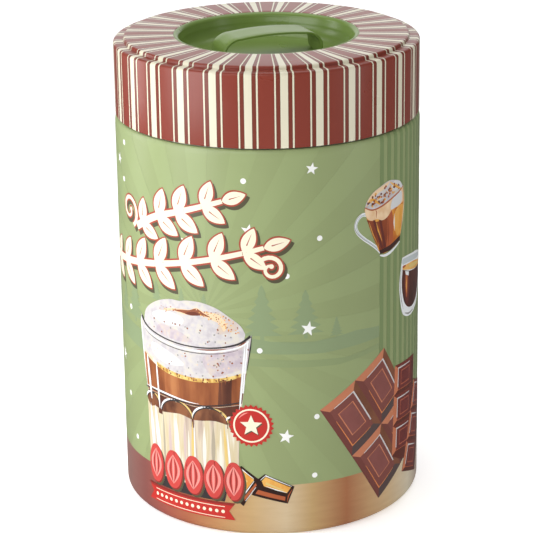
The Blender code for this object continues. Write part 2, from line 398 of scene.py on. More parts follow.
def turned(name, loop, degrees, shades, shade_of=lambda edge, column: 0, shift=None):
    """A closed profile loop turned about Z. shade_of(edge, column) picks the material of a face."""
    shape = bmesh.new()
    axis = {}
    corners = []
    for turn in degrees:
        row = []
        for index, (r, z) in enumerate(loop):
            if r > ON_AXIS:
                reach = r + (shift(index, r, z, turn) if shift else 0)
                row.append(shape.verts.new(polar(reach, math.radians(turn), z)))
                continue
            if z not in axis:
                axis[z] = shape.verts.new((0, 0, z * MM))
            row.append(axis[z])
        corners.append(row)
    for c, here in enumerate(corners):
        there = corners[(c + 1) % len(corners)]
        for e in range(len(loop)):
            n = (e + 1) % len(loop)
            ring = list(dict.fromkeys((here[e], here[n], there[n], there[e])))
            if len(ring) > 2:
                face = shape.faces.new(ring)
                face.material_index = shade_of(e, c)
                face.smooth = True
    bmesh.ops.recalc_face_normals(shape, faces=shape.faces)
    piece = piece_of(name, shape, shades)
    piece.data.set_sharp_from_angle(angle=SHARP)
    return piece


def even_degrees(step=STEP_DEGREES):
    return [-180 + step * i for i in range(round(360 / step))]


def shoulder_rows():
    """(z, inset) up the wall's shoulder, from the straight wall to its top."""
    angles = [math.radians(90 * i / SHOULDER_PARTS) for i in range(SHOULDER_PARTS + 1)]
    return [(SHOULDER_TOP - SHOULDER_HIGH * (1 - math.sin(a)), SHOULDER * (1 - math.cos(a))) for a in angles]


def wall_outer_points():
    curl_r = NECK_R - CURL
    curl_z = NECK_TOP - CURL
    foot_r = WALL_R - CORNER
    hem_r = foot_r - FOOT_WIDTH
    points = [(curl_r - CURL, curl_z - CURL_TAIL)]
    points += arc(curl_r, curl_z, CURL, 180, 0, 12)
    points += [(NECK_R, SHOULDER_TOP + 0.3)]
    points += [(WALL_R - inset, z) for z, inset in shoulder_rows()[::-1]]
    points += [(WALL_R, BAND_TOP)]
    points += arc(foot_r, CORNER, CORNER, 0, -90, 12)
    points += arc(hem_r, HEM_BEND, HEM_BEND, -90, -180, HEM_PARTS)
    points += [(hem_r - HEM_BEND, HEM_TOP)]
    return points


def build_wall(shades):
    """The rolled wall in one sheet: printed outside, bare on the neck and rim, lacquered inside."""
    ground, band, bare, inside_coat = range(4)
    loop = sheet_loop(wall_outer_points())
    front = loop[:len(loop) // 2]
    degrees = even_degrees() + [SEAM_DEGREES + side * away for away in SEAM_COLUMNS for side in (-1, 1)]
    degrees = sorted(set(degrees))
    printed = [i for i, (r, z) in enumerate(front) if z < SHOULDER_TOP + 0.01 and i > 3]
    first, last = printed[0], printed[-1]

    def groove(index, r, z, turn):
        away = abs(turn - SEAM_DEGREES)
        straight = CORNER < z < SHOULDER_TOP - SHOULDER_HIGH + 0.01
        if index >= len(front) or r < WALL_R - 0.01 or not straight or away > SEAM_HALF:
            return 0
        return -SEAM_GROOVE * max(0, math.cos(math.pi * away))

    def shade(edge, column):
        if edge >= len(front) - 1:
            return inside_coat
        middle_z = (loop[edge][1] + loop[edge + 1][1]) / 2
        in_seam = abs(degrees[column] - SEAM_DEGREES) < SEAM_HALF + 0.01 and middle_z > CORNER
        if edge < first or edge >= last - HEM_PARTS or in_seam:
            return bare
        return ground if middle_z > BAND_TOP else band

    return turned("wall_sheet", loop, degrees, shades, shade, groove)


def build_seam_fold(shade):
    """The folded lock seam that stands proud inside the wall."""
    half = math.degrees(SEAM_FOLD_WIDTH / 2 / WALL_R)
    back = WALL_R - SHEET + 0.05
    front = WALL_R - SHEET - SEAM_FOLD_DEPTH
    section = [(-half, back), (-half + 0.3, front), (-half / 2, front), (0, front), (half / 2, front),
               (half - 0.3, front), (half, back), (half / 2, back), (-half / 2, back)]
    shape = bmesh.new()
    low, high = ([shape.verts.new(polar(reach, math.radians(SEAM_DEGREES + turn), z)) for turn,
        reach in section] for z in (SEAM_LOW, SEAM_HIGH))
    for i in range(len(low)):
        n = (i + 1) % len(low)
        shape.faces.new((low[i], low[n], high[n], high[i]))
    shape.faces.new(low)
    shape.faces.new(high)
    bmesh.ops.recalc_face_normals(shape, faces=shape.faces)
    piece = piece_of("wall_seam_fold", shape, [shade])
    edge = piece.modifiers.new("Edges", "BEVEL")
    edge.width = 0.08 * MM
    edge.segments = 2
    return piece


def build_bottom(shade):
    """The recessed end with two stiffening beads, hooked behind the wall's hem."""
    hook_r = WALL_R - CORNER - FOOT_WIDTH - HEM_BEND + SHEET + 0.3
    turn = HEM_BEND / 2
    under = PANEL_UNDER - SHEET - PANEL_STEP
    points = [(hook_r, SHEET + 0.3)]
    points += arc(hook_r - turn, under - turn, turn, 0, 90, 6)
    points += [(47.6, under), (46.6, under), (46.2, under + 0.25), (45.7, under + 0.65),
        (45.2, under + PANEL_STEP)]
    half_width, depth = 2.2, 0.35
    for bead in (36, 22):
        for i in range(11):
            a = math.pi * i / 10
            points.append((bead + half_width * math.cos(a), under + PANEL_STEP - depth * math.sin(a)))
    points += [(0, under + PANEL_STEP)]
    return turned("bottom_panel", sheet_loop(points), even_degrees(2.5), [shade])


# ---------------------------------------------------------------- lid

def stripe_plan():
    """The columns round the lid in degrees, and the ink of each: 0 red, 1 cream, 2 brown-red, 3 dark line."""
    repeat = 360 / LID_STRIPES
    bands = [(0.235, 1), (0.1, 2), (0.07, 1), (0.43, 0), (0.065, 1), (0.1, 2)]
    degrees = []
    inks = []
    for k in range(LID_STRIPES):
        start = STRIPE_CENTRE - bands[0][0] / 2 * repeat + k * repeat
        for share, tone in bands:
            width = share * repeat
            if tone == 1:
                inner = width - 2 * DARK_LINE
                parts = max(1, round(inner))
                cuts = [0] + [DARK_LINE + inner * i / parts for i in range(parts + 1)]
                tones = [3] + [1] * parts + [3]
            else:
                parts = max(1, round(width))
                cuts = [width * i / parts for i in range(parts)]
                tones = [tone] * parts
            degrees += [start + cut for cut in cuts]
            inks += tones
            start += width
    return degrees, inks


def lid_points():
    edge_r = RING_R - RING_BEND
    ledge = LID_TOP - LEDGE_DROP
    points = arc(WELL_R + 0.55, LID_TOP - 0.35, 0.35, 170, 90, 4)
    points += [(WELL_R + 3, LID_TOP), (44, LID_TOP)]
    points += arc(edge_r, LID_TOP - RING_BEND, RING_BEND, 90, 0, 8)
    points += arc(RING_R + LEDGE_FILLET, ledge + LEDGE_FILLET, LEDGE_FILLET, 180, 270, 5)
    points += arc(LID_R - SKIRT_BEND, ledge - SKIRT_BEND, SKIRT_BEND, 90, 0, 8)
    points += [(LID_R, 165)]
    points += arc(LID_R - LID_HEM_TURN, LID_EDGE + LID_HEM_TURN, LID_HEM_TURN, 0, -180, 10)
    points += [(LID_R - 2 * LID_HEM_TURN, LID_EDGE + LID_HEM_TURN + LID_HEM_HEIGHT)]
    return points


def build_lid_sheet(shades):
    """Ring, step, ledge and skirt in one sheet, with the stripes running over all of them."""
    loop = sheet_loop(lid_points())
    front = len(loop) // 2
    degrees, inks = stripe_plan()
    hem, inside_coat = 4, 5

    def shade(edge, column):
        if edge >= front - 1:
            return inside_coat
        return hem if edge >= front - 7 else inks[column]

    return turned("lid_sheet", loop, degrees, shades, shade)


def build_well(shade):
    """The green pan, with slots for the strap's tabs."""
    wall_r = WELL_R - WELL_RIM - WELL_DRAFT
    rim_z = LID_TOP - WELL_RIM_DROP
    flange = LID_TOP - SHEET - 0.12
    points = [(0, WELL_FLOOR), (16, WELL_FLOOR)]
    points += arc(wall_r - WELL_BEND, WELL_FLOOR + WELL_BEND, WELL_BEND, -90, 0, 12)
    points += arc(WELL_R, rim_z - WELL_RIM, WELL_RIM, 180, 90, 10)
    points += [(WELL_R + 0.5, flange), (WELL_R + PAN_FLANGE, flange)]
    pan = turned("well_pan", sheet_loop(points), even_degrees(2), [shade])
    loose, depth = 0.4, 2.4
    size = Vector((STRAP_SHEET + 0.3, STRAP_WIDTH - 2 * STRAP_CORNER + loose, depth))
    for side in (-1, 1):
        reach = side * (STRAP_LENGTH - STRAP_SHEET) / 2
        place = Vector((STRAP_OFFSET + reach * math.cos(STRAP_TURN), reach * math.sin(STRAP_TURN),
            WELL_FLOOR))
        cut_slot(pan, place * MM, size * MM)
    return pan


def cut_slot(pan, place, size):
    shape = bmesh.new()
    bmesh.ops.create_cube(shape, size=1)
    stretch = Matrix.Rotation(STRAP_TURN, 4, "Z") @ Matrix.Diagonal((*size, 1))
    bmesh.ops.transform(shape, matrix=Matrix.Translation(place) @ stretch, verts=shape.verts)
    cutter = piece_of("slot_cutter", shape)
    cut = pan.modifiers.new("Slot", "BOOLEAN")
    cut.operation = "DIFFERENCE"
    cut.solver = "EXACT"
    cut.object = cutter
    apply_modifiers(pan)
    bpy.data.objects.remove(cutter)
    pan.data.set_sharp_from_angle(angle=SHARP)


def apply_modifiers(piece):
    graph = bpy.context.evaluated_depsgraph_get()
    mesh = bpy.data.meshes.new_from_object(piece.evaluated_get(graph))
    piece.modifiers.clear()
    piece.data = mesh


def strap_half_path():
    """(reach, height, width) along the strap's outer face, from mid-span to the end of a tab."""
    half = STRAP_LENGTH / 2
    span = half - STRAP_BEND_LENGTH
    narrow = STRAP_WIDTH - 2 * STRAP_CORNER
    path = [(span * i / 6, STRAP_TOP - STRAP_CROWN * (i / 6) ** 2, STRAP_WIDTH) for i in range(6)]
    for x, z in arc(0, 0, 1, 90, 0, 14):
        height = STRAP_TOP - STRAP_CROWN - STRAP_BEND_HEIGHT * (1 - z)
        path.append((span + STRAP_BEND_LENGTH * x, height, STRAP_WIDTH))
    for inset, rise in arc(0, 0, STRAP_CORNER, 180, 270, 8):
        path.append((half, WELL_FLOOR + 0.3 + STRAP_CORNER + rise, narrow - 2 * inset))
    path += [(x, z, narrow) for x, z in arc(half - TAB_BEND, STRAP_LOW + TAB_BEND, TAB_BEND, 0, -90, 8)]
    path.append((half - TAB_BEND - TAB_LENGTH, STRAP_LOW, narrow))
    return path


def build_strap(shade):
    """The bent strap: its half path mirrored, given thickness, and its cut edges rounded."""
    half = strap_half_path()
    shape = bmesh.new()
    rows = []
    for x, z, width in [(-x, z, w) for x, z, w in half[:0:-1]] + half:
        rows.append([shape.verts.new((x * MM, share * width / 4 * MM, z * MM)) for share in range(-2, 3)])
    for here, there in zip(rows, rows[1:]):
        for i in range(len(here) - 1):
            shape.faces.new((here[i], there[i], there[i + 1], here[i + 1]))
    strap = piece_of("strap", shape, [shade])
    sheet = strap.modifiers.new("Sheet", "SOLIDIFY")
    sheet.thickness = STRAP_SHEET * MM
    sheet.offset = -1
    sheet.use_even_offset = True
    edge = strap.modifiers.new("Edges", "BEVEL")
    edge.width = 0.22 * MM
    edge.segments = 3
    edge.limit_method = "ANGLE"
    edge.angle_limit = math.radians(60)
    apply_modifiers(strap)
    strap.data.transform(Matrix.Translation((STRAP_OFFSET * MM, 0, 0)) @ Matrix.Rotation(STRAP_TURN, 4, "Z"))
    strap.data.shade_smooth()
    strap.data.set_sharp_from_angle(angle=math.radians(40))
    return strap


def build_seal(shade):
    bend = 0.3
    width = 1.5
    outer = SEAL_R - bend
    inner = SEAL_R - width + bend
    low, high = SEAL_LOW + bend, SEAL_HIGH - bend
    loop = []
    for r, z, start in ((outer, high, 0), (inner, high, 90), (inner, low, 180), (outer, low, 270)):
        loop += arc(r, z, bend, start, start + 90, 4)
    return turned("seal_ring", loop, even_degrees(2.5), [shade])


# ---------------------------------------------------------------- drawing in sheet millimetres

# Shift along s and z, growth of the edge, ink and layer of each coat of a raised motif
RAISED = ((1, -1.25, 0.65, "drop_shadow", 0), (0, 0, 0.65, "outline_red", 2), (0, 0, 0, "cream", 4))


def smooth(points, closed=False, parts=6):
    """A smooth curve through the points."""
    count = len(points)
    ends = count if closed else count - 1
    made = []
    for i in range(ends):
        if closed:
            a, b, c, d = (points[(i + k) % count] for k in (-1, 0, 1, 2))
        else:
            a, b, c, d = (points[min(max(i + k, 0), count - 1)] for k in (-1, 0, 1, 2))
        for k in range(parts):
            t = k / parts
            made.append(tuple(
                0.5 * (2 * b[n] + (c[n] - a[n]) * t + (2 * a[n] - 5 * b[n] + 4 * c[n] - d[n]) * t * t
                       + (3 * b[n] - a[n] - 3 * c[n] + d[n]) * t ** 3)
                for n in (0, 1)))
    return made if closed else made + [points[-1]]


def ellipse(s, z, wide, high, turn=0, start=0, end=360, parts=28):
    """Points of an ellipse, or of part of one, with half axes wide and high."""
    c, d = math.cos(math.radians(turn)), math.sin(math.radians(turn))
    whole = end - start >= 360
    points = []
    for i in range(parts if whole else parts + 1):
        a = math.radians(start + (end - start) * i / parts)
        x, y = wide * math.cos(a), high * math.sin(a)
        points.append((s + x * c - y * d, z + x * d + y * c))
    return points


def rosette(s, z, outer, inner, teeth, turn=90):
    """A star or a toothed seal: points at the outer radius with notches at the inner one."""
    points = []
    for i in range(2 * teeth):
        a = math.radians(turn + 180 * i / teeth)
        reach = outer if i % 2 == 0 else inner
        points.append((s + reach * math.cos(a), z + reach * math.sin(a)))
    return points


def disc(s, z, radius, parts=14):
    return ellipse(s, z, radius, radius, parts=parts)


def sine_taper(thick, least=0.1):
    """A stroke's width that swells from least at both ends to thick in the middle."""
    return lambda t: least + (thick - least) * math.sin(math.pi * t)


def moved(points, ds, dz):
    return [(s + ds, z + dz) for s, z in points]


def clipped(points, low_s, high_s, low_z, high_z):
    """The part of a convex outline that lies inside a box."""
    for axis, limit, way in ((0, low_s, 1), (0, high_s, -1), (1, low_z, 1), (1, high_z, -1)):
        kept = []
        for i, here in enumerate(points):
            there = points[(i + 1) % len(points)]
            a, b = way * (here[axis] - limit), way * (there[axis] - limit)
            if a >= 0:
                kept.append(here)
            if a * b < 0:
                t = a / (a - b)
                kept.append(tuple(p + (q - p) * t for p, q in zip(here, there)))
        points = kept
        if len(points) < 3:
            return []
    return points


def signed_area(points):
    return sum(a[0] * b[1] - b[0] * a[1] for a, b in zip(points, points[1:] + points[:1])) / 2


class Artwork:
    """The ink patches of one printed piece. Inks go by name, and up counts layers above the piece's own."""

    def __init__(self, layer):
        self.layer = layer
        self.inks = []
        self.patches = []

    def add(self, corners, faces, tone, up):
        if tone not in self.inks:
            self.inks.append(tone)
        self.patches.append((corners, faces, self.inks.index(tone), self.layer + up))

    def fill(self, outline, tone, up=0):
        """A filled outline."""
        if len(outline) < 3:
            return
        if signed_area(outline) < 0:
            outline = outline[::-1]
        self.add(outline, [tuple(range(len(outline)))], tone, up)

    def blob(self, points, tone, up=0):
        """A filled smooth outline through the points."""
        self.fill(smooth(points, True), tone, up)

    def stroke(self, path, width, tone, up=0, closed=False):
        """A line of ink along a path. The width is a number, or a function of the share along it."""
        count = len(path)
        corners = []
        for i, (s, z) in enumerate(path):
            before = path[i - 1] if i or closed else path[i]
            after = path[(i + 1) % count] if i < count - 1 or closed else path[i]
            along = Vector((after[0] - before[0], after[1] - before[1])).normalized()
            half = (width(i / (count - 1)) if callable(width) else width) / 2
            corners += [(s + along.y * half, z - along.x * half), (s - along.y * half, z + along.x * half)]
        quads = [(2 * i, 2 * i + 2, 2 * i + 3, 2 * i + 1) for i in range(count - 1)]
        if closed:
            quads.append((2 * count - 2, 0, 1, 2 * count - 1))
        self.add(corners, quads, tone, up)

    def swell(self, path, thick, tone, up=0):
        """A stroke that swells from its ends. The width is its middle's, or its middle's and its ends'."""
        self.stroke(path, sine_taper(*thick) if isinstance(thick, tuple) else sine_taper(thick), tone, up)


def add_patches(flat, patches):
    """Puts the patches in a flat mesh of s, z and layer."""
    for corners, faces, ink_index, layer in patches:
        made = [flat.verts.new((s, z, layer)) for s, z in corners]
        for face in faces:
            if len(set(face)) > 2:
                flat.faces.new([made[i] for i in face]).material_index = ink_index


def bisect(flat, place, normal):
    everything = flat.verts[:] + flat.edges[:] + flat.faces[:]
    bmesh.ops.bisect_plane(flat, geom=everything, dist=1e-5, plane_co=place, plane_no=normal)


def split_by_columns(flat):
    """Cuts the flat mesh along the wall's own columns and rows, so that every film bends as the wall does."""
    column = math.radians(STEP_DEGREES) * WALL_R
    reach = [vert.co.x for vert in flat.verts]
    for k in range(math.floor(min(reach) / column), math.ceil(max(reach) / column) + 1):
        bisect(flat, (k * column, 0, 0), (1, 0, 0))
    if max(vert.co.y for vert in flat.verts) > SHOULDER_TOP - SHOULDER_HIGH:
        for z, _ in shoulder_rows()[:-2]:
            bisect(flat, (0, z, 0), (0, 1, 0))


def shoulder_share(z):
    """0 on the straight wall, rising to 1 at the top of the shoulder."""
    return min(max(0, (z - SHOULDER_TOP + SHOULDER_HIGH) / SHOULDER_HIGH), 0.99)


def on_wall(s, z, lift):
    inset = SHOULDER * (1 - math.sqrt(1 - shoulder_share(z) ** 2))
    return polar(WALL_R - inset + lift, s / WALL_R, z)


def wall_normal(s, z):
    share = shoulder_share(z)
    outward = math.sqrt(1 - share ** 2) / SHOULDER
    turn = s / WALL_R
    return Vector((outward * math.sin(turn), -outward * math.cos(turn), share / SHOULDER_HIGH)).normalized()


def build_films(art, name, turn):
    """Closes each patch into a thin film on the wall and turns the whole piece about Z, in degrees."""
    flat = bmesh.new()
    add_patches(flat, art.patches)
    flat.normal_update()
    bmesh.ops.triangulate(flat, faces=[f for f in flat.faces if len(f.verts) > 4], ngon_method="EAR_CLIP")
    split_by_columns(flat)
    flat.verts.index_update()
    flat.verts.ensure_lookup_table()
    flat.normal_update()
    places = [vert.co.copy() for vert in flat.verts]
    count = len(places)
    points = [on_wall(p.x, p.y, FILM + FILM_STEP * p.z) for p in places]
    points += [on_wall(p.x, p.y, -FILM_ROOT) for p in places]
    outward = [wall_normal(p.x, p.y) for p in places]
    faces, inks, normals = [], [], []
    for face in flat.faces:
        ring = [vert.index for vert in face.verts]
        if face.normal.z < 0:
            ring.reverse()
        faces += [ring, [i + count for i in reversed(ring)]]
        normals += [outward[i] for i in ring] + [-outward[i] for i in reversed(ring)]
        inks += [face.material_index] * 2
        for a, b in zip(ring, ring[1:] + ring[:1]):
            edge = flat.edges.get((flat.verts[a], flat.verts[b]))
            if len(edge.link_faces) == 1:
                faces.append([b, a, a + count, b + count])
                side = Vector(points[a]) - Vector(points[b])
                normals += [side.cross(outward[a]).normalized()] * 4
                inks.append(face.material_index)
    flat.free()
    mesh = bpy.data.meshes.new(name)
    mesh.from_pydata(points, [], faces)
    mesh.polygons.foreach_set("material_index", inks)
    mesh.shade_smooth()
    mesh.normals_split_custom_set(normals)
    piece = add_piece(name, mesh, [printing_ink(tone) for tone in art.inks])
    piece.rotation_euler.z = math.radians(turn)
    return piece


# ---------------------------------------------------------------- artwork: ground

def draw_rays(art):
    """A sunburst from behind the tall glass: every other ray in a lighter tint."""
    s, z = -25, 88
    rays = 22
    reach = 260
    first = 0.1
    for i in range(rays):
        a = math.tau * i / rays + first
        ends = [(s + reach * math.cos(b), z + reach * math.sin(b)) for b in (a, a + math.pi / rays)]
        art.fill(clipped([(s, z)] + ends, *MAIN_PANEL, BAND_TOP, INK_TOP), "ray_tint")


def draw_hills(art):
    """Low strips of woodland behind the glass."""
    art.fill([(-57, 74), (-76, 76), (-97, 79), (-97, 70), (-57, 66)], "woods_far")
    art.fill([(-8, 80), (0, 78.5), (16, 77.5), (34, 79), (44.8, 78), (44.8, 73.6), (20, 72.6), (-8, 74)],
        "woods_far")
    art.fill([(-8, 72), (12, 70.6), (30, 69.4), (44.8, 71), (44.8, 69), (26, 67), (-8, 69)], "woods_near")


def draw_pine(art, s, base, height, width):
    """A pine as a tapering stack of drooping tiers."""
    tiers = 6
    left, right = [], []
    for i in range(tiers):
        low = base + height * (0.1 + 0.9 * i / tiers)
        half = width / 2 * (1 - i / tiers) ** 0.9
        left += [(s - half, low), (s - half * 0.45, low + height * 0.1)]
        right += [(s + half, low), (s + half * 0.45, low + height * 0.1)]
    trunk = width * 0.05
    skirt = base + height * 0.1
    outline = [(s + trunk, base), (s + trunk, skirt)] + right + [(s, base + height)]
    art.fill(outline + left[::-1] + [(s - trunk, skirt), (s - trunk, base)], "woods_far", 2)


def draw_trees(art):
    for place in ((-3, 78.5, 22, 15), (13, 79, 19, 14), (25, 78, 8, 6), (-72, 77, 12, 9), (-62, 76, 19, 13),
                  (-82, 78, 9, 7), (-47, 88, 9, 6), (-34.5, 90, 6.5, 4), (-25, 90, 5.5, 4)):
        draw_pine(art, *place)


def draw_stars(art):
    """Small five-pointed stars with round dots between them."""
    waist = 0.42
    for s, z, size in ((15.7, 143.3, 2.4), (-7.5, 120.7, 2.9), (14, 82.7, 3), (5.3, 40.7, 3), (-74, 137, 2.4),
                       (-77, 58, 2.8), (-32, 114.5, 2.3), (-90, 112, 2.8), (-88, 36, 2.6)):
        art.fill(rosette(s, z, size, size * waist, 5, 78), "star_white")
    for s, z in ((-67.5, 144.7), (-69, 130.2), (-66, 80.7), (-9, 139.5), (-4, 75), (18.5, 117), (6.2, 103.6),
                 (17, 47.7), (16, 24.2), (-86, 90), (-92, 130), (-70, 44), (-64, 28), (-37.5, 94.3)):
        art.fill(disc(s, z, 1.05), "star_white")


def draw_pinstripes(art):
    """Darker stripes down the side panel."""
    width, pitch = 2.1, 4.17
    for i in range(9):
        s = MAIN_PANEL[1] + pitch * i
        art.fill([(s, BAND_TOP), (s + width, BAND_TOP), (s + width, INK_TOP), (s, INK_TOP)], "pinstripe")


# ---------------------------------------------------------------- artwork: sprigs, seal, pods and ribbon

def leaf(s, z, angle, length, width, grow):
    """A pointed leaf from its stalk end, with its edge moved out by grow."""
    c, d = math.cos(angle), math.sin(angle)
    upper, lower = [], []
    parts = 12
    for i in range(parts + 1):
        t = i / parts
        along = -grow + (length + 2 * grow) * t
        half = (width / 2 + grow) * math.sin(math.pi * t) ** 0.75 * (1.12 - 0.3 * t)
        upper.append((s + along * c - half * d, z + along * d + half * c))
        lower.append((s + along * c + half * d, z + along * d - half * c))
    return lower[:-1] + upper[:0:-1]


def sprig_leaves(stem, pairs, length, width):
    """(s, z, angle, length, width) of leaves in pairs up a stem, with one at its tip."""
    leaves = []
    for i in range(pairs):
        at = (i + 0.5) / pairs * (len(stem) - 2)
        k = int(at)
        t = at - k
        s, z = (p + (q - p) * t for p, q in zip(stem[k], stem[k + 1]))
        along = math.atan2(stem[k + 1][1] - stem[k][1], stem[k + 1][0] - stem[k][0])
        size = 0.72 + 0.28 * math.sin(math.pi * (i + 1) / (pairs + 1))
        for way in (-1, 1):
            leaves.append((s, z, along + way * math.radians(52), length * size, width * size))
    (s0, z0), (s, z) = stem[-2:]
    leaves.append((s, z, math.atan2(z - z0, s - s0), length * 0.8, width * 0.8))
    return leaves


def draw_sprig(art, stem, pairs, length, width):
    """A cream sprig with a red outline and a dark drop shadow."""
    stem = smooth(stem)
    leaves = sprig_leaves(stem, pairs, length, width)
    for ds, dz, grow, tone, up in RAISED:
        art.stroke(moved(stem, ds, dz), lambda t: 3.1 * (1 - 0.45 * t) + 2 * grow, tone, up)
        for i, place in enumerate(leaves):
            art.fill(moved(leaf(*place, grow), ds, dz), tone, up + 0.5 + 0.02 * i)
    for s, z, angle, long, _ in leaves:
        vein = [(s + math.cos(angle) * long * t, z + math.sin(angle) * long * t) for t in (0.3, 0.78)]
        art.stroke(vein, lambda t: 0.42 * (1.1 - t), "outline_red", 6)


def draw_curl(art, s, z, size, start, way):
    """A tendril that winds in to a berry."""
    path = []
    for i in range(27):
        t = i / 26
        a = math.radians(start + way * 430 * t)
        reach = size * (1 - 0.78 * t)
        path.append((s + reach * math.cos(a), z + reach * math.sin(a)))
    for ds, dz, grow, tone, up in RAISED:
        art.stroke(moved(path, ds, dz), lambda t: 1.7 * (1 - 0.4 * t) + 2 * grow, tone, up)
        art.fill(disc(path[-1][0] + ds, path[-1][1] + dz, 0.9 + grow), tone, up + 0.7)


def draw_sprigs(art):
    draw_sprig(art, [(-58, 115), (-46, 121.5), (-33, 126), (-17, 131.5)], 4, 11.6, 6.2)
    draw_sprig(art, [(-84, 97), (-66, 99.5), (-45, 103.5), (-22, 109), (-2, 114.5)], 7, 12.4, 6.4)
    draw_curl(art, -64, 120, 6.4, -60, 1)
    draw_curl(art, 0.5, 106.4, 5, 150, -1)


def draw_seal(art):
    """A toothed round seal with a cream ring and a star."""
    s, z = -7.6, 45.2
    art.fill(rosette(s, z, 8.5, 7.5, 26), "seal_red")
    art.fill(disc(s, z, 6.75, 40), "cream", 1)
    art.fill(disc(s, z, 6.1, 40), "seal_red", 2)
    art.fill(rosette(s + 0.35, z - 0.45, 4.3, 1.9, 5), "drop_shadow", 3)
    art.fill(rosette(s, z, 4.3, 1.9, 5), "cream", 4)
    art.swell(ellipse(s, z, 5.3, 5.3, 0, 100, 150, 8), (0.52, 0.02), "pink", 3)


def pod(s, z, wide, high):
    """A cacao pod standing on end, pointed at both ends."""
    points = []
    for i in range(28):
        a = math.tau * i / 28
        c, d = math.cos(a), math.sin(a)
        reach = wide / 2 * math.copysign(abs(c) ** 0.8, c)
        points.append((s + reach, z + high / 2 * math.copysign(abs(d) ** 1.25, d)))
    return points


def draw_pods(art):
    """A row of five ribbed pods in raised red with pink lights."""
    z, high = 22.2, 15.5
    light, groove = ((1.1, 0.15), "pink"), ((0.45, 0.05), "deep_red")
    for s, wide in ((-50, 8.2), (-40.6, 8.8), (-31.2, 8.4), (-22.6, 8), (-14.6, 7.4)):
        body = pod(s, z, wide, high)
        art.fill(moved(body, 1.2, -1.2), "drop_shadow", 2)
        art.fill(moved(body, 0.5, -0.5), "deep_red", 3)
        art.fill(body, "pod_red", 4)
        for lean, rib in ((-0.62, light), (0, light), (0.62, light), (-0.32, groove), (0.32, groove)):
            path = [(s + lean * wide / 2 * math.sin(math.pi * t / 10), z + high * (0.076 * t - 0.38))
                for t in range(11)]
            art.swell(path, *rib, 5)


def draw_ribbon(art):
    """A plain swallow-tailed ribbon with a row of cream dots."""
    low, high = 6.3, 13.2
    middle = (low + high) / 2
    left, right = -54.6, -14.2
    art.fill([(left, low), (right, low), (-16.6, middle), (right, high), (left, high),
        (-52.2, middle)], "seal_red")
    art.fill([(left, high), (right, high), (right - 0.6, high - 1), (left + 0.6, high - 1)], "deep_red", 1)
    for i in range(13):
        art.fill(disc(-49.8 + 2.57 * i, middle - 0.35, 0.72), "cream", 1)
    for z in (low + 0.75, high - 1.75):
        art.stroke([(-50.6, z), (-18.2, z)], 0.28, "cream", 1)


# ---------------------------------------------------------------- artwork: drinks

def specks(art, outline, count, seed, sizes, tones, up):
    """Seeded small dots inside an outline, such as cocoa powder on foam."""
    draw = random.Random(seed)
    low_s, high_s = min(p[0] for p in outline), max(p[0] for p in outline)
    low_z, high_z = min(p[1] for p in outline), max(p[1] for p in outline)
    placed = 0
    while placed < count:
        s, z = draw.uniform(low_s, high_s), draw.uniform(low_z, high_z)
        if not inside(outline, s, z):
            continue
        size = draw.uniform(*sizes)
        art.fill(ellipse(s, z, size, size * 0.8, draw.uniform(0, 180), parts=7), draw.choice(tones), up)
        placed += 1


def inside(outline, s, z):
    hit = False
    for (s0, z0), (s1, z1) in zip(outline, outline[1:] + outline[:1]):
        if (z0 > z) != (z1 > z) and s < s0 + (s1 - s0) * (z - z0) / (z1 - z0):
            hit = not hit
    return hit


def beam(s, low, high, lean):
    """A line up the glass from low to high that leans to the left."""
    return [(s - lean * t / 6, low + (high - low) * t / 6) for t in range(7)]


def between_edges(low_curve, high_curve):
    """An outline between two curves that both run from the left side to the right."""
    return low_curve + high_curve[::-1]


